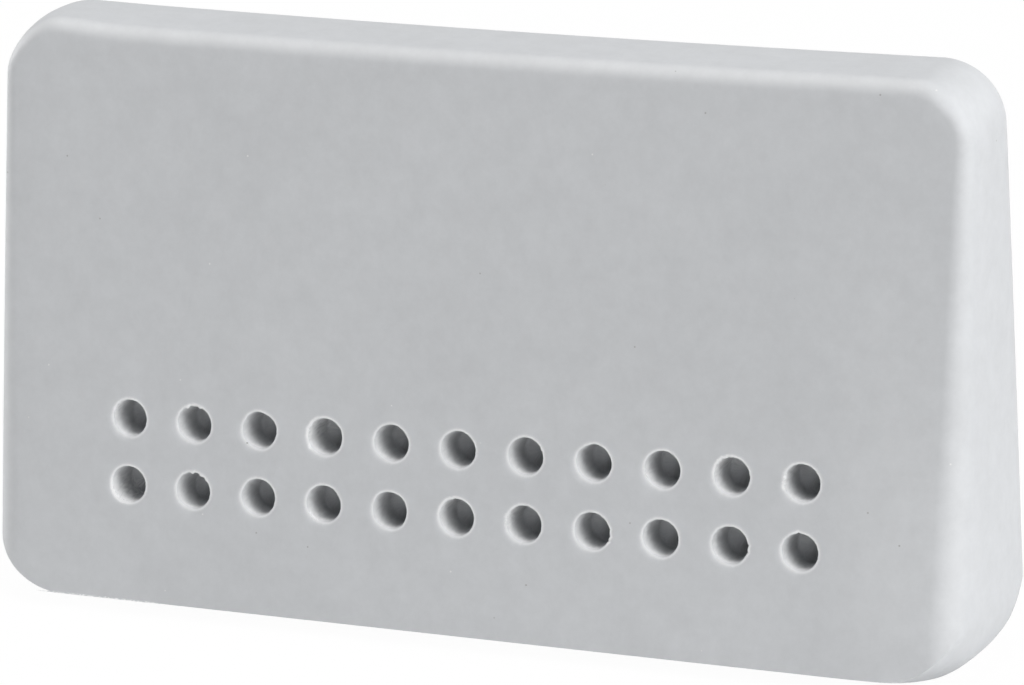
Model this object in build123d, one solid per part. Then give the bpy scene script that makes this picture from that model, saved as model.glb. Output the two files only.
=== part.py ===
from build123d import *
import math
import os

# Triangular eraser: one moulded wedge, thin along the top and wide at the foot.
# Length runs along X, the dimpled front face looks towards -Y, and the foot stands on Z = 0.

# Body
FOOT_LENGTH = 62.0        # end to end at the foot, on the middle of the bowed ends
TOP_LENGTH = 60.7         # end to end at the top, after the draft of the ends
HEIGHT = 35.2             # from the standing strip to the flat top
FOOT_DEPTH = 14.0         # between the sharp front and back edges of the foot
TOP_DEPTH = 6.2           # between the faces at the flat top, before rounding
FOOT_CROWN = 0.9          # how far the sharp edges lie above the standing strip
STANDING_STRIP = 6.4      # width of the flat strip under the crowned foot
END_BOW = 0.9             # how far the ends swell out over the depth of the foot

# Roundings
RIM_RADIUS = 1.5          # along the top and the upright edges of both faces
TOP_CORNER_RADIUS = 3.7   # where the ends meet the top
FOOT_CORNER_RADIUS = 4.2  # where the ends meet the foot
FOOT_ROUND_STANDOFF = 0.03  # how far outside the ends that rounding starts, so that they cross

# Grip holes in the front face
HOLE_DIAMETER = 2.2
HOLE_DEPTH = 2.7
HOLES_IN_ROW = 11
HOLE_ROWS = 2
HOLE_PITCH = 4.23         # along a row
ROW_PITCH = 3.98          # between rows, up the front face
FIRST_ROW_HEIGHT = 7.0    # up the front face from its sharp edge
ROW_SHIFT = -0.24         # from the middle of the eraser to the middle of a row

# How far a cutting shape runs past what it cuts
OVERRUN = 1.0


def side_profile():
    """Wedge seen from the end: two leaning faces under a flat top, run on down past the foot."""
    spread = (FOOT_DEPTH - TOP_DEPTH) / 2 / (HEIGHT - FOOT_CROWN)
    low = -OVERRUN
    half_low = TOP_DEPTH / 2 + spread * (HEIGHT - low)
    corners = [(-half_low, low), (-TOP_DEPTH / 2, HEIGHT), (TOP_DEPTH / 2, HEIGHT), (half_low, low)]
    return Plane.YZ * make_face(Polyline(*corners, close=True))


def foot_profile():
    """Crowned foot seen from the end, wider than the wedge and without a top of its own."""
    reach = FOOT_DEPTH / 2 + OVERRUN
    drop = ((FOOT_DEPTH / 2) ** 2 + FOOT_CROWN**2 - (STANDING_STRIP / 2) ** 2) / (2 * FOOT_CROWN)
    radius = math.hypot(drop, STANDING_STRIP / 2)
    edge = drop - math.sqrt(radius**2 - reach**2)
    above = HEIGHT + OVERRUN
    sides = Polyline((reach, edge), (reach, above), (-reach, above), (-reach, edge))
    crown = ThreePointArc((-reach, edge), (0, drop - radius), (reach, edge))
    return Plane.YZ * make_face([*sides.edges(), crown])


def drafted_ends(standoff):
    """Block between the two bowed ends, which draw in towards the top, moved out by a standoff."""
    draft = math.atan2((FOOT_LENGTH - TOP_LENGTH) / 2, HEIGHT)
    reach = FOOT_DEPTH / 2 + OVERRUN + HEIGHT * math.tan(draft)
    bow_radius = ((FOOT_DEPTH / 2) ** 2 + END_BOW**2) / (2 * END_BOW)
    middle = FOOT_LENGTH / 2 + OVERRUN * math.tan(draft) + standoff
    corner = middle - bow_radius + math.sqrt(bow_radius**2 - reach**2)
    front = Line((-corner, -reach), (corner, -reach))
    right = ThreePointArc((corner, -reach), (middle, 0), (corner, reach))
    back = Line((corner, reach), (-corner, reach))
    left = ThreePointArc((-corner, reach), (-middle, 0), (-corner, -reach))
    plan = Pos(0, 0, -OVERRUN) * make_face([front, right, back, left])
    return extrude(plan, amount=HEIGHT + OVERRUN + OVERRUN, taper=math.degrees(draft))


def outer_pair(edges):
    """The leftmost and the rightmost of some edges."""
    ordered = edges.sort_by(Axis.X)
    return [ordered[0], ordered[-1]]


def rimmed_wedge():
    """Wedge with its top corners rounded, then the rims of both faces."""
    wedge = extrude(side_profile(), amount=FOOT_LENGTH / 2 + OVERRUN, both=True) & drafted_ends(0)
    top = wedge.faces().sort_by(Axis.Z)[-1]
    wedge = fillet(outer_pair(top.edges()), TOP_CORNER_RADIUS)
    by_depth = wedge.faces().sort_by(Axis.Y)
    rims = [edge for face in (by_depth[0], by_depth[-1]) for edge in face.edges().sort_by(Axis.Z)[1:]]
    return fillet(rims, RIM_RADIUS)


def rounded_foot():
    """Crowned foot with the ends rounded under into it."""
    block = extrude(foot_profile(), amount=FOOT_LENGTH / 2 + OVERRUN, both=True)
    block = block & drafted_ends(FOOT_ROUND_STANDOFF)
    foot = block.faces().sort_by(Axis.Z)[0]
    return fillet(outer_pair(foot.edges()), FOOT_CORNER_RADIUS)


def front_plane():
    """Plane of the front face: X along the eraser, Y up the face, from its sharp edge."""
    lean = math.atan2((FOOT_DEPTH - TOP_DEPTH) / 2, HEIGHT - FOOT_CROWN)
    sharp_edge = (0, -FOOT_DEPTH / 2, FOOT_CROWN)
    return Plane(origin=sharp_edge, x_dir=(1, 0, 0), z_dir=(0, -math.cos(lean), math.sin(lean)))


def grip_holes():
    """Rows of blind holes, square to the front face."""
    first = ROW_SHIFT - HOLE_PITCH * (HOLES_IN_ROW - 1) / 2
    length = HOLE_DEPTH + OVERRUN
    places = [
        Pos(first + HOLE_PITCH * column, FIRST_ROW_HEIGHT + ROW_PITCH * row, OVERRUN - length / 2)
        for row in range(HOLE_ROWS)
        for column in range(HOLES_IN_ROW)
    ]
    return [front_plane() * place * Cylinder(HOLE_DIAMETER / 2, length) for place in places]


def make_eraser():
    """The whole eraser, cut flat under the crown so that it stands."""
    body = rimmed_wedge() & rounded_foot()
    body = split(body, Plane.XY, keep=Keep.TOP)
    return body - grip_holes()


eraser = make_eraser()
eraser.label = "eraser"
os.makedirs("parts", exist_ok=True)
export_step(eraser, "parts/eraser.step")
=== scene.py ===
import math

import bmesh
import bpy
import numpy as np
from mathutils import Matrix
from mathutils.geometry import delaunay_2d_cdt


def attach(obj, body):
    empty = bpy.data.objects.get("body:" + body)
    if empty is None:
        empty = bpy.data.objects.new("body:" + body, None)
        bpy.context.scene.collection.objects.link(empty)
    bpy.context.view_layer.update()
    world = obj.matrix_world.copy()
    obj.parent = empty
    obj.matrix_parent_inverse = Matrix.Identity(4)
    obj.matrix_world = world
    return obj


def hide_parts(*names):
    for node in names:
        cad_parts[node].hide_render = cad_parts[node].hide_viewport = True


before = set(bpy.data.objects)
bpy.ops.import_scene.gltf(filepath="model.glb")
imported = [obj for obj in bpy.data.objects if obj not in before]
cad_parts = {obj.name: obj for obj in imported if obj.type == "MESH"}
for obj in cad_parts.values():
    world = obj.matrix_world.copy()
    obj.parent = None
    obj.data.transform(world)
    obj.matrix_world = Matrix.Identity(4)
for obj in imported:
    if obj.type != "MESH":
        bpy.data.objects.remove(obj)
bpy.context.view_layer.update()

# The wedge is drawn again as one fine mesh, with the wear and small faults of the one in the photograph.
# Lengths are in millimetres and angles in degrees, unless a comment says otherwise. X runs along the
# eraser, the dimpled front looks towards -Y, and the foot stands on Z = 0.
MM = 0.001

# Form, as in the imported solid
FOOT_LENGTH = 62.0
TOP_LENGTH = 60.7
HEIGHT = 35.2
FOOT_DEPTH = 14.0
TOP_DEPTH = 6.2
FOOT_CROWN = 0.9
STANDING_STRIP = 6.4
END_BOW = 0.9
TOP_CORNER_RADIUS = 3.7
FOOT_CORNER_RADIUS = 4.2
HOLE_DIAMETER = 2.2
HOLE_DEPTH = 2.7
HOLES_IN_ROW = 11
HOLE_ROWS = 2
HOLE_PITCH = 4.23
ROW_PITCH = 3.98
FIRST_ROW_HEIGHT = 7.0
ROW_SHIFT = -0.24

# Rim, tighter than the solid's along the top and high on the ends, and fuller low on the ends
TOP_RIM = 1.1
END_RIM_HIGH = 1.0
END_RIM_LOW = 2.1

# Wear of the whole form. A pair is for the left and the right.
TOP_SAG = 0.18                 # of the middle of the top
SAG_START_SHARE = 0.55         # of the height, where the sag starts
SAG_SPAN_SHARE = 0.45
TOP_FRONT_DROP = 0.33          # of the front edge of the top
TOP_BACK_DROP = 0.02
DROP_START_SHARE = 0.8         # of the height, where that drop starts
DROP_SPAN_SHARE = 0.17
DROP_LEFT = 3                  # how far left of the straight top it starts
DROP_RUN = 8                   # length over which it grows from there
END_SPREAD = 0.0052            # share of the length by which the ends lean in more
SPREAD_LEVEL_SHARE = 0.4       # of the height, where they stay in place
CORNERS_FRONT = (-0.3, -0.2)   # how much fuller the top corners are, from front to back
CORNERS_MIDDLE = (0.2, 0.05)
CORNERS_BACK = (0.2, 0.0)
FOOT_CORNERS = (0.0, 0.06)

# Low right strip of the front face, which falls away towards the end
PILLOW = 0.6                   # how far it falls away
PILLOW_REACH = 8.5             # its width
PILLOW_TOP_SHARE = 0.85        # of the height, where it starts
PILLOW_SPAN_SHARE = 0.6        # of the height, over which it grows from there
PILLOW_FRONT_SHARE = 0.9       # of the way to the front face, where it is whole
STRIP_FOOT = 1.0               # height at which its painted light starts
STRIP_FOOT_SPAN = 5.0

# How much paler the rims and that strip are painted: a painted highlight along the rims, and painted light
# on the strip
PAINTED_HIGHLIGHT_TOP = 0.36
PAINTED_HIGHLIGHT_RIGHT = 0.1
PAINTED_HIGHLIGHT_LEFT = 0.28
PAINTED_LIGHT_STRIP = 0.36
CORNER_HIGHLIGHT_CUT = 0.8            # share of the painted highlight that the top right corner lacks

# Form of the holes. An angle round a hole runs from the right, up the face.
LIP_RADIUS = 0.08
LIP_RISE = 0.02                # of the lip on the side where it stands up
LIP_FALL = 0.07                # of the lip on the other side
LIP_LEAN = 50                  # angle of the side where it stands up
LIP_SPREAD = 0.4               # width of the face that the lip moves
LIP_FADE = 0.5                 # depth over which the faults of the lip fade
TIP_RADIUS = 0.2
FUNNEL = 0.1                   # how far the low side of the wall draws in below the lip
FUNNEL_REACH = 0.3
FUNNEL_SIDE = (270, 60)        # angle and half width
ROUGH_FADE = 1.2               # depth over which roughness fades
FORM_WAVER = 0.012
FORM_WAVES = range(2, 6)
LIP_WAVER = 0.008

# Paleness in the holes, a painted highlight on the lips and painted light on the walls: 0 is the colour of
# the face, 1 the pale colour of the painted highlights, and less than 0 is painted shade
LIP_EDGE = 0.06                # depth over which the painted highlight of the lip fades
LIP_HOLD_SHARE = 0.7           # how firmly a ring has to follow the lip to carry the painted highlight
WALL_DEPTH = 0.3               # at which the painted light on the wall is whole
LIT_SIDE = 130                 # angle of the side of the wall that catches the light
# Painted light on the wall: on its lit side, on the side where the lip falls, and on its low side
LIT_WALL = 0.5
FAR_WALL = 0.5                 # on the side where the lip falls
LOW_WALL = 0.6
LOW_WALL_SIDE = (285, 50)      # angle and half width
GRAIN = 0.1
PALEST = 1.3
DEEP_START = 1.9               # depth at which the painted shade at the end of the hole starts
DEEP_SPAN = 0.8
# Painted shade: the share of the paleness that is taken away at the end of the hole, and the paleness of
# the middle of its floor
DEEP_DULLING = 0.3
FLOOR_MIDDLE_PAINTED_SHADE = -0.35

# Marks on single holes
SQUARE_CORNERS = 4
NICK_DROP = 0.5                # share of its size by which a nick lies lower
NICK_PALENESS = 0.8
NICK_HALO = 2                  # width of its paleness in widths of the nick
BURR_LIFT = 0.4                # share of its size by which a burr stands up
BURR_PALENESS = 1.6
SPOTS = (0.1, 0.6)             # mean and spread of the pale spots where a hole is rough
SPOTS_DEPTH = 0.05             # at which they are whole
TORN_EDGE = (0.3, 1)           # mean and spread of a torn lip, in sizes of the mark
TORN_PALENESS = 2.0
# Row from the foot, column from the left, kind, angle, half width, size
MARKS = (
    (1, 0, "rough", 140, 45, 0.02),
    (1, 1, "burr", 114, 5, 0.1),
    (1, 1, "burr", 88, 4, 0.05),
    (1, 1, "burr", 70, 5, 0.1),
    (1, 1, "rough", 95, 30, 0.015),
    (1, 2, "square", 20, 0, 0.022),
    (1, 3, "torn", 140, 40, 0.02),
    (1, 3, "nick", 215, 5, 0.05),
    (1, 4, "flat", 228, 28, 0.06),
    (1, 6, "burr", 27, 4, 0.05),
    (1, 7, "flat", 125, 22, 0.05),
    (1, 8, "rough", 200, 20, 0.02),
    (1, 9, "torn", 125, 45, 0.022),
    (1, 10, "burr", 172, 8, 0.12),
    (1, 10, "nick", 195, 5, 0.03),
    (1, 10, "rough", 175, 30, 0.03),
    (0, 0, "torn", 225, 45, 0.02),
    (0, 1, "burr", 92, 6, 0.13),
    (0, 1, "burr", 62, 5, 0.09),
    (0, 1, "burr", 40, 4, 0.05),
    (0, 2, "flat", 150, 24, 0.045),
    (0, 3, "rough", 230, 25, 0.02),
    (0, 4, "square", 35, 0, 0.015),
    (0, 5, "torn", 115, 40, 0.015),
    (0, 6, "rough", 165, 35, 0.035),
    (0, 7, "nick", 352, 4, 0.055),
    (0, 7, "nick", 335, 4, 0.06),
    (0, 7, "nick", 12, 4, 0.045),
    (0, 9, "nick", 5, 4, 0.055),
    (0, 9, "nick", 345, 4, 0.055),
    (0, 10, "nick", 96, 5, 0.055),
)

# Thin flash along the left of the sharp front edge of the foot
FLASH_SPAN = (-27.4, -18.6)
FLASH_STEPS = 90
FLASH_HEIGHT = 0.07
FLASH_TAPER_STEPS = 12
FLASH_TIP_SHARE = 0.05
FLASH_UNEVEN = (0.8, 0.22)     # mean and spread of its height, in heights
FLASH_UNEVEN_LIMITS = (0.3, 1.6)
# Corners of its section, up the face and out of it, in heights
FLASH_SECTION = ((1, 0.02), (0.35, 0.4), (-0.25, 0.15), (0.2, -1))
FLASH_PALENESS = (0.45, 0.35)  # mean and spread
FLASH_PALENESS_LIMITS = (0, 1.2)

# Fineness of the mesh
RIM_STEPS = 12
MID_STEPS = 20
END_STEPS = 50
TURN_STEPS = 16
TOP_STEPS = 90
FOOT_TURN_STEPS = 16
FOOT_STEPS = 60
RING = 72                      # points round a hole
SPREAD_RINGS = 5
LIP_RINGS = 7
WALL_RINGS = 10
WALL_CROWDING = 1.5            # power that crowds the rings of the wall towards the lip
TIP_RINGS = 5
FLOOR_RING_SHARE = 0.45        # of the bore
FLOOR_RING_HOLD = 0.5
PATCH_STEP = 0.7               # between the points of a flat face
PATCH_INSET = 0.5
PATCH_CLEAR = 0.6              # from those points to the outline
PATCH_INSIDE = 0.02            # least product of sides that counts as inside the outline
HOLE_CLEAR = 0.25              # from those points to the mouth of a hole
MOUTH_SLACK = 0.004            # by which the middle of a triangle lies inside a mouth to be left out
PATCH_EPSILON = 1e-7
WELD = 0.002                   # points closer than this are joined
CREASE_ANGLE = 30              # edges sharper than this stay sharp

# Seeds of the random draws
DRAWS_SEED = 11
GRAIN_SEED = 5

# Search for where the surfaces meet
RIM_ROUNDS = 50
CREASE_ROUNDS = 60
SETTLING_ROUNDS = 40
CREASE_LOWEST = 0.5
CREASE_MARGIN = 1.0
MID_LOW_GUESS = 5.0

LEAN = (FOOT_DEPTH - TOP_DEPTH) / 2 / (HEIGHT - FOOT_CROWN)
DRAFT = math.atan2((FOOT_LENGTH - TOP_LENGTH) / 2, HEIGHT)  # radians
BOW_RADIUS = ((FOOT_DEPTH / 2) ** 2 + END_BOW**2) / (2 * END_BOW)
CROWN_DROP = ((FOOT_DEPTH / 2) ** 2 + FOOT_CROWN**2 - (STANDING_STRIP / 2) ** 2) / (2 * FOOT_CROWN)
CROWN_RADIUS = math.hypot(CROWN_DROP, STANDING_STRIP / 2)
BORE = HOLE_DIAMETER / 2
MOUTH = BORE + LIP_RADIUS + LIP_SPREAD


def smooth(share):
    """Ease a share in and out between 0 and 1."""
    share = np.clip(share, 0, 1)
    return share * share * (3 - 2 * share)


def bisect(low, high, beyond, rounds):
    """Place between low and high where a test turns true."""
    for _ in range(rounds):
        mid = (low + high) / 2
        past = beyond(mid)
        low, high = np.where(past, low, mid), np.where(past, mid, high)
    return (low + high) / 2


def back(points):
    """The same points on the back."""
    return points * np.array([1, -1, 1])


def left(points):
    """The same points on the left."""
    return points * np.array([-1, 1, 1])


def bow(y):
    """How far an end falls back from its middle."""
    return BOW_RADIUS - np.sqrt(BOW_RADIUS**2 - y**2)


def end_x(z):
    """Half the length at a height, on the middle of an end."""
    return FOOT_LENGTH / 2 - math.tan(DRAFT) * z


def crown(y):
    """Height of the underside of the foot."""
    return np.maximum(CROWN_DROP - np.sqrt(CROWN_RADIUS**2 - y**2), 0.0)


def front_y(z):
    """Plane of the front face at a height."""
    return LEAN * (z - FOOT_CROWN) - FOOT_DEPTH / 2


TURN_TOP = HEIGHT - TOP_CORNER_RADIUS
TURN_X = end_x(TURN_TOP) - TOP_CORNER_RADIUS / math.cos(DRAFT)
END_TOP = TURN_TOP + TOP_CORNER_RADIUS * math.sin(DRAFT)


def rim_radius(pz, nx):
    """Radius of the rim along the top and, where the outline looks to the side, down the ends."""
    along_end = END_RIM_LOW + (END_RIM_HIGH - END_RIM_LOW) * np.clip(pz / TURN_TOP, 0, 1)
    return TOP_RIM + (along_end - TOP_RIM) * smooth(nx)


def rim(px, pz, nx, nz):
    """Rolling-ball rim where the front face meets the outline at (px, pz) with outward normal (nx, nz).

    It gives the y where the rim ends, the ball's centre as a depth below the outline and a y, and the
    angles of the rim's start on the front face and of its end.
    """
    radius = rim_radius(pz, nx)
    tilt = np.sqrt(1 + (LEAN * nz) ** 2)
    start = front_y(pz)

    def ball(y):
        slope = nx * y / np.sqrt(BOW_RADIUS**2 - y**2)
        length = np.sqrt(1 + slope**2)
        return nx * bow(y) + radius / length, y - radius * slope / length, slope, length

    def clear_of_face(y):
        depth, centre_y, _, _ = ball(y)
        return (centre_y + LEAN * nz * depth - start) / tilt - radius > 0

    y = bisect(start + np.zeros_like(px), np.zeros_like(px), clear_of_face, RIM_ROUNDS)
    depth, centre_y, slope, length = ball(y)
    first = np.arctan2(-1 / tilt, -LEAN * nz / tilt)
    last = np.arctan2(slope / length, -1 / length)
    return y, depth, centre_y, first, last


def rim_point(px, pz, nx, nz, share):
    """Point on the rim: share 0 lies on the front face, share 1 on the end or the top."""
    _, depth, centre_y, first, last = rim(px, pz, nx, nz)
    turn = (last - first + math.pi) % (2 * math.pi) - math.pi
    angle = first + turn * share
    radius = rim_radius(pz, nx)
    inward = depth + radius * np.cos(angle)
    y = centre_y + radius * np.sin(angle)
    return np.stack([px - nx * inward, y, pz - nz * inward], -1)


def through(edge, share):
    """The y on the way from an edge, at share 0, to the same edge on the other side, at share 1."""
    return edge - 2 * edge * share


def across(px, pz, nx, nz, share):
    """Point on the end or the top, from the front rim at share 0 to the back rim at share 1."""
    y = through(rim(px, pz, nx, nz)[0], share)
    inward = nx * bow(y)
    return np.stack([px - nx * inward, y, pz - nz * inward], -1)


def end_frame(z):
    """Outline of the right end at some heights: its points and their outward normals."""
    z = np.asarray(z, float)
    return end_x(z), z, np.full_like(z, math.cos(DRAFT)), np.full_like(z, math.sin(DRAFT))


def corner_centre(y):
    """Centre of the rounding between the right end and the foot."""
    cz = crown(y) + FOOT_CORNER_RADIUS
    return end_x(cz) - bow(y) - FOOT_CORNER_RADIUS / math.cos(DRAFT), cz


def foot_point(phi, y):
    """Point on that rounding, at an angle below the level, in radians."""
    cx, cz = corner_centre(y)
    x = cx + FOOT_CORNER_RADIUS * np.cos(phi)
    z = cz - FOOT_CORNER_RADIUS * np.sin(phi)
    return np.stack([x, y + 0 * cx, z], -1)


shares = np.linspace(0, 1, RIM_STEPS + 1)
mids = np.linspace(0, 1, MID_STEPS + 1)


def clear_of_foot(z):
    """Whether the columns of the rim at these heights lie within the foot rounding."""
    points = rim_point(*end_frame(z), shares)
    cx, cz = corner_centre(points[:, 1])
    drop = np.clip(cz - points[:, 2], 0, FOOT_CORNER_RADIUS)
    return points[:, 0] <= cx + np.sqrt(FOOT_CORNER_RADIUS**2 - drop**2)


# Lower ends of the rim's columns on the foot rounding, and of the columns across the end where it starts
crease_z = bisect(
    np.full_like(shares, CREASE_LOWEST),
    np.full_like(shares, FOOT_CORNER_RADIUS + FOOT_CROWN + CREASE_MARGIN),
    clear_of_foot,
    CREASE_ROUNDS,
)
mid_low = np.full_like(mids, MID_LOW_GUESS)
for _ in range(SETTLING_ROUNDS):
    y = through(rim(*end_frame(mid_low))[0], mids)
    mid_low = corner_centre(y)[1] + FOOT_CORNER_RADIUS * math.sin(DRAFT)
crease_z[-1] = mid_low[0]


def whole_row(on_rim, between):
    """Row of the shell from the front face to the back face."""
    return np.concatenate([on_rim, between[1:-1], back(on_rim)[::-1]])


def row_at(*point_and_normal):
    """Row of the shell at one point of the outline."""

    def repeated(like):
        return [np.full_like(like, value) for value in point_and_normal]

    return whole_row(rim_point(*repeated(shares), shares), across(*repeated(mids), mids))


# Shell: up the right end, round its corner, along the top and down the left end
right_rows = []
for step in range(END_STEPS + 1):
    rise = step / END_STEPS
    rim_z = crease_z + (END_TOP - crease_z) * rise
    mid_z = mid_low + (END_TOP - mid_low) * rise
    right_rows.append(whole_row(rim_point(*end_frame(rim_z), shares), across(*end_frame(mid_z), mids)))
for step in range(1, TURN_STEPS + 1):
    psi = DRAFT + (math.pi / 2 - DRAFT) * step / TURN_STEPS
    c, s = math.cos(psi), math.sin(psi)
    right_rows.append(row_at(TURN_X + TOP_CORNER_RADIUS * c, TURN_TOP + TOP_CORNER_RADIUS * s, c, s))
top_rows = [row_at(TURN_X * (1 - 2 * step / TOP_STEPS), HEIGHT, 0.0, 1.0) for step in range(1, TOP_STEPS)]
shell = np.array(right_rows + top_rows + [left(row) for row in reversed(right_rows)])

# Foot: under the right end, along the underside and up under the left end
foot_rows = [across(*end_frame(mid_low), mids)]
for point in shell[0][:RIM_STEPS][::-1]:
    cx, cz = corner_centre(point[1])
    phi = math.atan2(cz - point[2], point[0] - cx)
    y = through(point[1], mids)
    row = foot_point(np.full_like(y, phi), y)
    row[0], row[-1] = point, back(point)
    foot_rows.append(row)
rim_phi = phi
for step in range(1, FOOT_TURN_STEPS + 1):
    phi = rim_phi + (math.pi / 2 - rim_phi) * step / FOOT_TURN_STEPS
    edge = -FOOT_DEPTH / 2
    for _ in range(SETTLING_ROUNDS):
        edge = front_y(foot_point(np.array(phi), np.array(edge))[2])
    y = through(edge, mids)
    foot_rows.append(foot_point(np.full_like(y, phi), y))
foot_right = np.array(foot_rows)
right_end, left_end = foot_right[-1], left(foot_right[-1])
foot_middle = np.array(
    [right_end + (left_end - right_end) * step / FOOT_STEPS for step in range(FOOT_STEPS + 1)]
)
foot = np.concatenate([foot_right, foot_middle[1:-1], left(foot_right)[::-1]])

# Front face: its axes, and its outline from the foot of the right end round by the top
UP_LENGTH = math.hypot(1, LEAN)
NORMAL = np.array([0, -1, LEAN]) / UP_LENGTH
UP = np.array([0, LEAN, 1]) / UP_LENGTH
SHARP_EDGE = np.array([0, -FOOT_DEPTH / 2, FOOT_CROWN])
below_rim = foot_right[RIM_STEPS + 1:, 0]
outline = np.concatenate([shell[:, 0], left(below_rim), foot_middle[::-1][1:, 0], below_rim[:-1][::-1]])


def to_face(points):
    """Places of points in the plane of the front face: along it and up it from the sharp edge."""
    offset = points - SHARP_EDGE
    return np.stack([offset[..., 0], offset @ UP], -1)


def from_face(xy, out=0.0):
    """Points at places in the plane of the front face, moved out of it."""
    along = xy[..., :1] * np.array([1, 0, 0])
    return SHARP_EDGE + along + xy[..., 1:2] * UP + np.asarray(out)[..., None] * NORMAL


class Mesh:
    """Points with their paleness, which carries painted highlight, painted light and painted shade as well
    as the marks, and faces, gathered piece by piece.
    """

    def __init__(self):
        self.points = []
        self.painted_light_and_marks = []
        self.faces = []
        self.count = 0

    def add(self, points, faces, painted_light_and_marks=0.0):
        self.points.append(np.asarray(points, float).reshape(-1, 3))
        self.painted_light_and_marks.append(np.broadcast_to(np.ravel(painted_light_and_marks), len(self.points[-1])))
        self.faces += [tuple(int(i) + self.count for i in face) for face in faces]
        self.count += len(self.points[-1])

    def grid(self, points, flip=False, closed=False, painted_light_and_marks=0.0):
        n, m = points.shape[:2]
        faces = []
        for i in range(n - 1):
            for j in range(m if closed else m - 1):
                k = (j + 1) % m
                face = (i * m + j, i * m + k, (i + 1) * m + k, (i + 1) * m + j)
                faces.append(face[::-1] if flip else face)
        self.add(points, faces, painted_light_and_marks)


# The rims are painted paler, a painted highlight that is strongest along the top
onto_top = np.concatenate([np.zeros(END_STEPS + 1), np.arange(1, TURN_STEPS + 1) / TURN_STEPS])
corner_highlight_kept = 1 - CORNER_HIGHLIGHT_CUT * np.sin(math.pi * onto_top)
rim_highlight_rows = np.concatenate([
    (PAINTED_HIGHLIGHT_RIGHT + (PAINTED_HIGHLIGHT_TOP - PAINTED_HIGHLIGHT_RIGHT) * onto_top**2) * corner_highlight_kept,
    np.full(TOP_STEPS - 1, PAINTED_HIGHLIGHT_TOP),
    PAINTED_HIGHLIGHT_LEFT + (PAINTED_HIGHLIGHT_TOP - PAINTED_HIGHLIGHT_LEFT) * onto_top[::-1],
])
rim_highlight_across = np.sin(math.pi * shares) ** 2
rim_highlight_row = np.concatenate([rim_highlight_across, np.zeros(MID_STEPS - 1), rim_highlight_across])

mesh = Mesh()
mesh.grid(shell, painted_light_and_marks=rim_highlight_rows[:, None] * rim_highlight_row)
mesh.grid(foot, flip=True)


def hole_profile():
    """Rings of a hole from the face to its end: radius, depth, and how firmly each follows the wear."""
    rings = []
    for t in np.linspace(0, 1, SPREAD_RINGS + 1)[:-1]:
        rings.append((BORE + LIP_RADIUS + LIP_SPREAD * (1 - t), 0.0, t))
    for a in np.linspace(0, math.pi / 2, LIP_RINGS):
        rings.append((BORE + LIP_RADIUS * (1 - math.sin(a)), LIP_RADIUS * (1 - math.cos(a)), 1.0))
    wall = HOLE_DEPTH - TIP_RADIUS - LIP_RADIUS
    for t in np.linspace(0, 1, WALL_RINGS + 1)[1:]:
        rings.append((BORE, LIP_RADIUS + wall * t**WALL_CROWDING, 1.0))
    for a in np.linspace(0, math.pi / 2, TIP_RINGS + 1)[1:]:
        depth = HOLE_DEPTH - TIP_RADIUS * (1 - math.sin(a))
        rings.append((BORE - TIP_RADIUS * (1 - math.cos(a)), depth, 1.0))
    rings.append((BORE * FLOOR_RING_SHARE, HOLE_DEPTH, FLOOR_RING_HOLD))
    return [np.array(column)[:, None] for column in zip(*rings)]


angles = np.linspace(0, 2 * math.pi, RING, endpoint=False)  # radians


def near(angle, width):
    """Weight round a ring that is 1 at an angle and fades over a width."""
    away = (np.degrees(angles) - angle + 180) % 360 - 180
    return np.exp(-((away / width) ** 2))[None]


def facing_side(angle):
    """Weight round a ring that is 1 at an angle and 0 opposite."""
    return 0.5 + 0.5 * np.cos(angles - math.radians(angle))[None]


# Weights down and round a hole
radii, depths, hold = hole_profile()
ring_shape = (len(depths), RING)
lip_share = hold * np.exp(-depths / LIP_FADE)
rough_share = hold * np.exp(-(depths / ROUGH_FADE) ** 2)
firm = np.clip((hold - LIP_HOLD_SHARE) / (1 - LIP_HOLD_SHARE), 0, 1)
on_lip = hold * np.exp(-(depths / LIP_EDGE) ** 2) * firm
on_wall = np.clip(depths / WALL_DEPTH, 0, 1)
deep = np.clip((depths - DEEP_START) / DEEP_SPAN, 0, 1)
lean = facing_side(LIP_LEAN)
lit = facing_side(LIT_SIDE)
lip_drop = lip_share**2 * (LIP_FALL - (LIP_FALL + LIP_RISE) * lean)
funnel = FUNNEL * hold * (1 - np.exp(-depths / FUNNEL_REACH)) * near(*FUNNEL_SIDE)
# Painted highlight on the lips and painted light on the walls, the same in every hole
painted_light_in_every_hole = (
    on_lip * (0.5 + 0.5 * lean)
    + FAR_WALL * rough_share * on_wall * (1 - lean) ** 2
    + LIT_WALL * on_wall * lit
    + LOW_WALL * rough_share * on_wall * near(*LOW_WALL_SIDE)
)
# Painted shade at the end of the hole, darkest on the side away from the lit side
painted_shade_of_end = deep * (1 - lit) ** 2

draws = np.random.default_rng(DRAWS_SEED)
grain = np.random.default_rng(GRAIN_SEED)


def add_mark(kind, angle, width, size, push, drop, painted_light_and_marks):
    """Put a mark on a hole, by changing how far its points lie out and down and how pale they are."""
    if kind == "square":
        push += hold * size * np.cos(SQUARE_CORNERS * (angles - math.radians(angle)))[None]
        return
    there = near(angle, width)
    if kind == "flat":
        push -= hold * size * there
    elif kind == "nick":
        push += lip_share**2 * size * there
        drop += lip_share**2 * NICK_DROP * size * there
        painted_light_and_marks += NICK_PALENESS * on_lip * near(angle, NICK_HALO * width)
    elif kind == "burr":
        push -= lip_share**2 * size * there
        drop -= lip_share**2 * BURR_LIFT * size * there
        painted_light_and_marks += BURR_PALENESS * lip_share**2 * there * firm
    else:
        push += rough_share * size * there * draws.normal(0, 1, ring_shape)
        spots = np.clip(draws.normal(*SPOTS, ring_shape), 0, 1)
        painted_light_and_marks += rough_share * there * spots * np.clip(depths / SPOTS_DEPTH, 0, 1)
        if kind == "torn":
            push += lip_share**2 * size * there * draws.normal(*TORN_EDGE, (1, RING))
            painted_light_and_marks += on_lip * there + TORN_PALENESS * on_wall * there * spots


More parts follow.
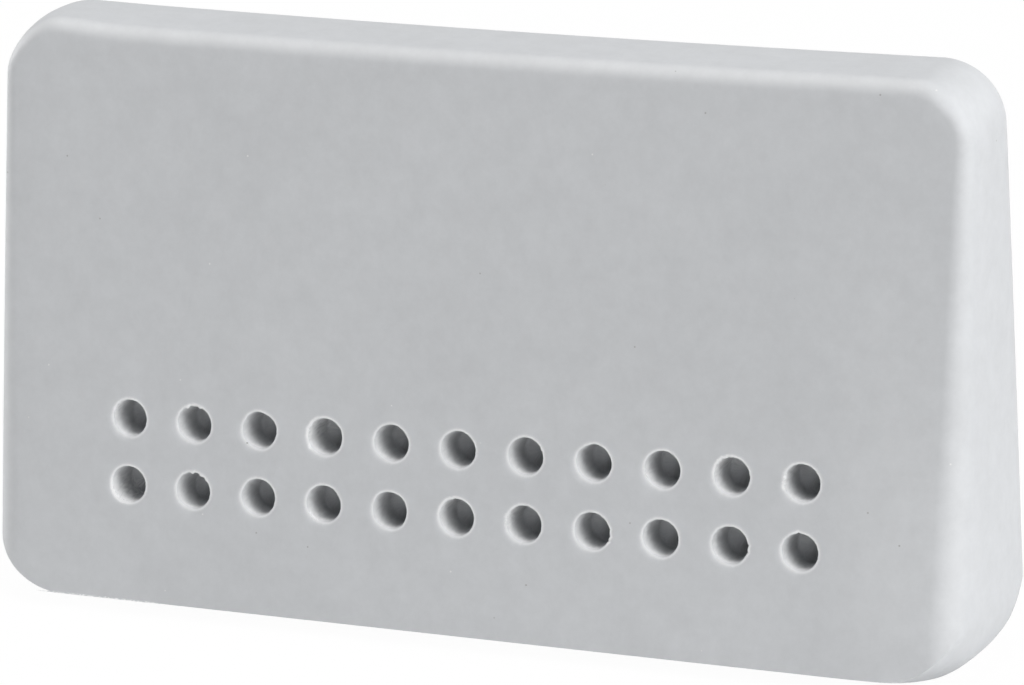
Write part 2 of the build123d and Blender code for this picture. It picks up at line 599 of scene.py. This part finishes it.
# Holes, and their mouths as edges in the front face
centres = np.array([
    (ROW_SHIFT + HOLE_PITCH * (column - (HOLES_IN_ROW - 1) / 2), FIRST_ROW_HEIGHT + ROW_PITCH * row)
    for row in range(HOLE_ROWS)
    for column in range(HOLES_IN_ROW)
])
around = np.stack([np.cos(angles), np.sin(angles)], -1)
floor_fan = [((i + 1) % RING, RING, i) for i in range(RING)]
face_points = [to_face(outline)]
face_edges = []
for number, centre in enumerate(centres):
    push = np.zeros(ring_shape)
    drop = lip_drop.copy()
    for wave in FORM_WAVES:
        turn = draws.uniform(0, 2 * math.pi)
        push += hold * draws.normal(0, FORM_WAVER / wave) * np.cos(wave * angles + turn)[None]
    push += lip_share * draws.normal(0, LIP_WAVER, (1, RING))
    push -= funnel
    painted_light_and_marks = painted_light_in_every_hole + on_wall * grain.normal(0, GRAIN, ring_shape)
    for *hole, kind, angle, width, size in MARKS:
        if tuple(hole) == divmod(number, HOLES_IN_ROW):
            add_mark(kind, angle, width, size, push, drop, painted_light_and_marks)
    # Deep in the hole the paleness is dulled and the painted shade is taken off it
    painted_light_and_marks = np.clip(painted_light_and_marks, 0, PALEST) * (1 - DEEP_DULLING * deep) - painted_shade_of_end
    rings = from_face(centre + (radii + push)[..., None] * around, -(depths + drop))
    mesh.grid(rings, flip=True, closed=True, painted_light_and_marks=painted_light_and_marks)
    # The middle of the floor carries painted shade
    floor_middle = rings[-1].mean(0)[None]
    mesh.add(np.concatenate([rings[-1], floor_middle]), floor_fan, np.append(painted_light_and_marks[-1], FLOOR_MIDDLE_PAINTED_SHADE))
    first = len(outline) + number * RING
    face_points.append(to_face(rings[0]))
    face_edges += [(first + i, first + (i + 1) % RING) for i in range(RING)]

# Flash
steps_in = np.minimum(np.arange(FLASH_STEPS), np.arange(FLASH_STEPS)[::-1])
taper = np.clip(steps_in / FLASH_TAPER_STEPS, FLASH_TIP_SHARE, 1)
swell = FLASH_HEIGHT * taper * np.clip(draws.normal(*FLASH_UNEVEN, FLASH_STEPS), *FLASH_UNEVEN_LIMITS)
section_up, section_out = np.array(FLASH_SECTION).T
sides = len(FLASH_SECTION)
sliver = []
for x, height in zip(np.linspace(*FLASH_SPAN, FLASH_STEPS), swell):
    section = np.stack([np.full(sides, x), section_up * height], -1)
    sliver.append(from_face(section, section_out * height))
sliver = np.array(sliver)
flash_pale = np.clip(draws.normal(*FLASH_PALENESS, (FLASH_STEPS, 1)), *FLASH_PALENESS_LIMITS)
mesh.grid(sliver, closed=True, painted_light_and_marks=np.repeat(flash_pale, sides, 1))
for tip in (sliver[0], sliver[-1]):
    mesh.add(tip, [range(sides)])


def flat_patch(points, edges, holes):
    """Triangles of a flat face inside the outline and outside its holes, in the plane of the face."""
    outer = len(outline)
    edge = points[:outer]
    lowest, highest = edge.min(0), edge.max(0)
    columns, rows = (np.arange(lowest[i] + PATCH_INSET, highest[i], PATCH_STEP) for i in range(2))
    grid = np.stack(np.meshgrid(columns, rows), -1).reshape(-1, 2)
    along = np.roll(edge, -1, 0) - edge
    kept = []
    for place in grid:
        offset = place - edge
        turn = along[:, 0] * offset[:, 1] - along[:, 1] * offset[:, 0]
        inside = np.all(turn > PATCH_INSIDE) or np.all(turn < -PATCH_INSIDE)
        clear = np.hypot(*offset.T).min() > PATCH_CLEAR
        if inside and clear and all(np.hypot(*(place - hole)) > MOUTH + HOLE_CLEAR for hole in holes):
            kept.append(place)
    places = [tuple(place) for place in np.concatenate([points, kept])]
    outer_edges = [(i, (i + 1) % outer) for i in range(outer)]
    patch = delaunay_2d_cdt(places, outer_edges + edges, [list(range(outer))], 1, PATCH_EPSILON)
    corners = np.array([tuple(place) for place in patch[0]])
    triangles = []
    for triangle in patch[2]:
        middle = corners[list(triangle)].mean(0)
        if all(np.hypot(*(middle - hole)) >= MOUTH - MOUTH_SLACK for hole in holes):
            triangles.append(triangle)
    return corners, triangles


def facing(points, triangles, direction):
    """Wind the triangles so that they face a direction."""
    out = []
    for triangle in triangles:
        a, b, c = (points[i] for i in triangle[:3])
        out.append(triangle if np.dot(np.cross(b - a, c - a), direction) > 0 else triangle[::-1])
    return out


# Front face with its holes, and back face without
corners, triangles = flat_patch(np.concatenate(face_points), face_edges, centres)
points = from_face(corners)
mesh.add(points, facing(points, triangles, NORMAL))
corners, triangles = flat_patch(to_face(outline), [], [])
points = back(from_face(corners))
mesh.add(points, facing(points, triangles, back(NORMAL)))


def bulge(aside, above, radius, height):
    """Offset away from a rounded corner's centre, largest halfway round and none at its ends."""
    turn = np.arctan2(above, aside) * ((aside > 0) & (above > 0))
    grow = height * np.clip(np.hypot(aside, above) / radius, 0, 1) ** 2 * np.sin(2 * turn) ** 2
    return grow * np.cos(turn), grow * np.sin(turn)


def low_right(x, y, z):
    """How far a point lies into the low right strip of the front face, and how much it belongs to it."""
    reach = np.clip((x - (end_x(z) - PILLOW_REACH)) / PILLOW_REACH, 0, 1)
    low = smooth((PILLOW_TOP_SHARE * HEIGHT - z) / (PILLOW_SPAN_SHARE * HEIGHT))
    return reach, low * smooth(y / (PILLOW_FRONT_SHARE * front_y(z)))


def worn(points):
    """The top sags along its length and towards the front, its corners are rounder at the front, and the
    front face falls away towards the low right edge."""
    out = points.copy()
    x, y, z = points.T
    hand = np.sign(x)
    front, middle, rear, foot_end = (
        np.where(x < 0, *pair) for pair in (CORNERS_FRONT, CORNERS_MIDDLE, CORNERS_BACK, FOOT_CORNERS)
    )
    part = np.clip(y / TOP_DEPTH + 0.5, 0, 1)
    fullness = front + (rear - front) * part + 4 * middle * part * (1 - part)
    aside, above = bulge(np.abs(x) - TURN_X, z - TURN_TOP, TOP_CORNER_RADIUS, fullness)
    out[:, 0] += hand * aside
    out[:, 2] += above
    foot_x, foot_z = corner_centre(y)
    aside, below = bulge(np.abs(x) - foot_x, foot_z - z, FOOT_CORNER_RADIUS, foot_end)
    out[:, 0] += hand * aside
    out[:, 2] -= below
    out[:, 0] *= 1 + END_SPREAD * (SPREAD_LEVEL_SHARE - z / HEIGHT)
    x, y, z = out.T.copy()
    forward = np.clip((TOP_DEPTH / 2 - y) / TOP_DEPTH, 0, 1)
    drop = TOP_BACK_DROP + (TOP_FRONT_DROP - TOP_BACK_DROP) * forward
    drop = drop * smooth((z / HEIGHT - DROP_START_SHARE) / DROP_SPAN_SHARE)
    out[:, 2] -= drop * smooth((x + TURN_X + DROP_LEFT) / DROP_RUN)
    sag = TOP_SAG * smooth((z / HEIGHT - SAG_START_SHARE) / SAG_SPAN_SHARE)
    out[:, 2] -= sag * np.clip(1 - (x / TURN_X) ** 2, 0, 1)
    reach, belongs = low_right(x, y, z)
    out[:, 1] += PILLOW * reach**2 * belongs
    return out


scene = bpy.context.scene
points = np.concatenate(mesh.points)
# Painted light on the low right strip of the front face, added to the paleness
reach, belongs = low_right(*points.T)
low_right_painted_light = reach * (1 - reach) * belongs * smooth((points[:, 2] - STRIP_FOOT) / STRIP_FOOT_SPAN)
all_painted_light_and_marks = np.concatenate(mesh.painted_light_and_marks) + PAINTED_LIGHT_STRIP * low_right_painted_light
data = bpy.data.meshes.new("eraser_body")
data.from_pydata([tuple(point * MM) for point in worn(points)], [], mesh.faces)
data.attributes.new("painted_light_and_marks", "FLOAT", "POINT").data.foreach_set("value", all_painted_light_and_marks)
body = bpy.data.objects.new("eraser_body", data)
scene.collection.objects.link(body)

joined = bmesh.new()
joined.from_mesh(data)
bmesh.ops.remove_doubles(joined, verts=joined.verts, dist=WELD * MM)
bmesh.ops.recalc_face_normals(joined, faces=joined.faces)
for edge in joined.edges:
    edge.smooth = not (edge.is_manifold and edge.calc_face_angle(0) > math.radians(CREASE_ANGLE))
for face in joined.faces:
    face.smooth = True
joined.to_mesh(data)
joined.free()

# Vinyl, faintly mottled and clouded, with small specks; paler with painted highlight and painted light on
# the rims, the low right strip and the holes, and where the holes have marks; darker deep in the holes with
# painted shade
VINYL = (0.592, 0.604, 0.62, 1)
# Colour at a paleness of 1, for painted highlight, painted light and pale marks
HIGHLIGHT_AND_MARK_VINYL = (0.86, 0.865, 0.87, 1)
DARKEST_PAINTED_SHADE = 0.4                  # share of the colour that is left at a paleness of -1, the darkest painted shade
MOTTLE = (0.915, 1.085)
CLOUD = (0.975, 1.025)
CLOUD_LIMITS = (0.2, 0.8)
SPECK_RADII = (0.02, 0.035)    # of a speck and of its soft edge, in cells of the pattern
SPECK_TONES = (0.4, 0.75)      # of a dark and of a pale speck
SPECK_SPLIT = (0.55, 0.56)     # between dark and pale specks
vinyl = bpy.data.materials.new("vinyl")
vinyl.use_nodes = True
nodes, links = vinyl.node_tree.nodes, vinyl.node_tree.links
shader = nodes["Principled BSDF"]
shader.inputs["Roughness"].default_value = 0.55
shader.inputs["Specular IOR Level"].default_value = 0.15
where = nodes.new("ShaderNodeTexCoord").outputs["Object"]


def texture(kind, **values):
    """Texture that is fixed to the eraser, with values on its sockets."""
    node = nodes.new(kind)
    for name, value in values.items():
        node.inputs[name].default_value = value
    links.new(where, node.inputs["Vector"])
    return node


def mix_colour(kind, factor, first, second):
    """Blend two colours, each given as a value or as the socket that it comes from."""
    node = nodes.new("ShaderNodeMix")
    node.data_type = "RGBA"
    node.blend_type = kind
    for socket, value in ((node.inputs[0], factor), (node.inputs[6], first), (node.inputs[7], second)):
        if isinstance(value, bpy.types.NodeSocket):
            links.new(value, socket)
        else:
            socket.default_value = value
    return node.outputs[2]


def spread(value, limits, results):
    """Map a value from one span to another, and keep it within that."""
    node = nodes.new("ShaderNodeMapRange")
    links.new(value, node.inputs["Value"])
    names = ("From Min", "From Max", "To Min", "To Max")
    for name, number in zip(names, (*limits, *results)):
        node.inputs[name].default_value = number
    return node.outputs["Result"]


mottle = texture("ShaderNodeTexNoise", Scale=650.0, Detail=4.0, Roughness=0.75)
cloud = texture("ShaderNodeTexNoise", Scale=80.0, Detail=2.0)
specks = texture("ShaderNodeTexVoronoi", Scale=500.0)
speck = spread(specks.outputs["Distance"], SPECK_RADII, (1.0, 0.0))
kind_of_speck = nodes.new("ShaderNodeSeparateColor")
links.new(specks.outputs["Color"], kind_of_speck.inputs[0])
tone = spread(kind_of_speck.outputs[0], SPECK_SPLIT, SPECK_TONES)
attribute = nodes.new("ShaderNodeAttribute")
attribute.attribute_name = "painted_light_and_marks"
painted_light_and_marks_factor = attribute.outputs["Fac"]
colour = mix_colour("MIX", painted_light_and_marks_factor, VINYL, HIGHLIGHT_AND_MARK_VINYL)
# Painted shade where the paleness falls below 0
colour = mix_colour("MULTIPLY", 1.0, colour, spread(painted_light_and_marks_factor, (-1.0, 0.0), (DARKEST_PAINTED_SHADE, 1.0)))
colour = mix_colour("MULTIPLY", 1.0, colour, spread(mottle.outputs[0], (0.0, 1.0), MOTTLE))
colour = mix_colour("MULTIPLY", 1.0, colour, spread(cloud.outputs[0], CLOUD_LIMITS, CLOUD))
colour = mix_colour("MIX", speck, colour, tone)
links.new(colour, shader.inputs["Base Color"])
data.materials.append(vinyl)
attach(body, "root")
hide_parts("eraser")


def direction(azimuth, elevation):
    """Unit vector that far round from the front, to the right, and up from the floor."""
    a, e = math.radians(azimuth), math.radians(elevation)
    return np.array([math.sin(a) * math.cos(e), -math.cos(a) * math.cos(e), math.sin(e)])


def level_axes(z):
    """The level X axis that goes with a Z axis, and their Y axis."""
    x = np.cross([0, 0, 1], z)
    x /= np.linalg.norm(x)
    return x, np.cross(z, x)


def stand(thing, x, y, z, place):
    """Give an object its axes and its place, in metres, and add it to the scene."""
    thing.matrix_world = Matrix([[x[i], y[i], z[i], place[i]] for i in range(3)] + [[0, 0, 0, 1]])
    scene.collection.objects.link(thing)


# Camera, fitted to the outline and the holes in the photograph
AZIMUTH, ELEVATION, ROLL = 23.0978, 14.6721, -1.0574
DISTANCE = 341.7867
TARGET = np.array([0.8424, 0.0, 16.9009])
FOCAL_PX = 5849.8315
PHOTO_WIDTH_PX = 1024
SENSOR_WIDTH = 36.0
CLIP_START = 0.01              # metres
toward = direction(AZIMUTH, ELEVATION)
aside, upward = level_axes(toward)
c, s = math.cos(math.radians(ROLL)), math.sin(math.radians(ROLL))
camera = bpy.data.objects.new("camera", bpy.data.cameras.new("camera"))
camera.data.sensor_width = SENSOR_WIDTH
camera.data.lens = FOCAL_PX / PHOTO_WIDTH_PX * SENSOR_WIDTH
camera.data.clip_start = CLIP_START
stand(camera, c * aside + s * upward, -s * aside + c * upward, toward, (TARGET + DISTANCE * toward) * MM)
scene.camera = camera


def mix_shader(tree, factor, first, second):
    """Mix two shaders by a value or by the socket that it comes from."""
    mix = tree.nodes.new("ShaderNodeMixShader")
    if isinstance(factor, bpy.types.NodeSocket):
        tree.links.new(factor, mix.inputs[0])
    else:
        mix.inputs[0].default_value = factor
    tree.links.new(first.outputs[0], mix.inputs[1])
    tree.links.new(second.outputs[0], mix.inputs[2])
    return mix


def shown(tree, usual, seen):
    """Shader that is one thing to the light, and another on rays that show the background: from the camera,
    mirrored or through glass."""
    path = tree.nodes.new("ShaderNodeLightPath")
    value = path.outputs["Is Camera Ray"]
    for ray in ("Is Glossy Ray", "Is Transmission Ray"):
        either = tree.nodes.new("ShaderNodeMath")
        either.operation = "MAXIMUM"
        tree.links.new(value, either.inputs[0])
        tree.links.new(path.outputs[ray], either.inputs[1])
        value = either.outputs[0]
    return mix_shader(tree, value, usual, seen)


# Floor, white where it is seen, apart from a faint shadow
FLOOR_HALF = 3.0               # metres
PAPER = (0.95, 0.95, 0.95, 1)
WHITE_SHARE = 0.975            # of plain white in the floor that is seen
floor_mesh = bpy.data.meshes.new("floor")
floor_corners = [(FLOOR_HALF * x, FLOOR_HALF * y, 0) for x, y in ((-1, -1), (1, -1), (1, 1), (-1, 1))]
floor_mesh.from_pydata(floor_corners, [], [(0, 1, 2, 3)])
floor = bpy.data.objects.new("floor", floor_mesh)
scene.collection.objects.link(floor)
paper = bpy.data.materials.new("paper")
paper.use_nodes = True
tree = paper.node_tree
tree.nodes.remove(tree.nodes["Principled BSDF"])
sheet = tree.nodes.new("ShaderNodeBsdfDiffuse")
sheet.inputs["Color"].default_value = PAPER
white = tree.nodes.new("ShaderNodeEmission")
white.inputs["Strength"].default_value = 1.0
surface = shown(tree, sheet, mix_shader(tree, WHITE_SHARE, sheet, white))
tree.links.new(surface.outputs[0], tree.nodes["Material Output"].inputs[0])
floor_mesh.materials.append(paper)

# World, faint to the light and white where it is seen
FAINT_COLOUR = (0.97, 0.985, 1.0, 1)
FAINT_STRENGTH = 0.02
world = bpy.data.worlds.new("studio")
scene.world = world
world.use_nodes = True
tree = world.node_tree
faint = tree.nodes["Background"]
faint.inputs["Color"].default_value = FAINT_COLOUR
faint.inputs["Strength"].default_value = FAINT_STRENGTH
clear = tree.nodes.new("ShaderNodeBackground")
clear.inputs["Strength"].default_value = 1.0
tree.links.new(shown(tree, faint, clear).outputs[0], tree.nodes["World Output"].inputs[0])

# Lamps, with places and sizes in metres and power in watts
LAMP_DISTANCE = 2.5
LAMP_AIM = np.array([0, 0, 0.015])
for name, azimuth, elevation, size, power in (
    ("right", 68, 35, (1.25, 1.25), 17.8),
    ("front right", 58, 32, (1.25, 1.25), 25.0),
    ("end", 105, 30, (1.25, 1.25), 15.8),
    ("above", 0, 86, (1.25, 1.25), 28.6),
    ("left", -100, 9, (1.25, 0.7), 36.0),
    ("low front", 24, 1.6, (0.55, 0.13), 0.5),
):
    light = bpy.data.lights.new(name, "AREA")
    light.shape = "RECTANGLE"
    light.size, light.size_y = size
    light.energy = power
    toward = direction(azimuth, elevation)
    lamp = bpy.data.objects.new(name, light)
    stand(lamp, *level_axes(toward), toward, LAMP_AIM + LAMP_DISTANCE * toward)

scene.view_settings.view_transform = "Standard"
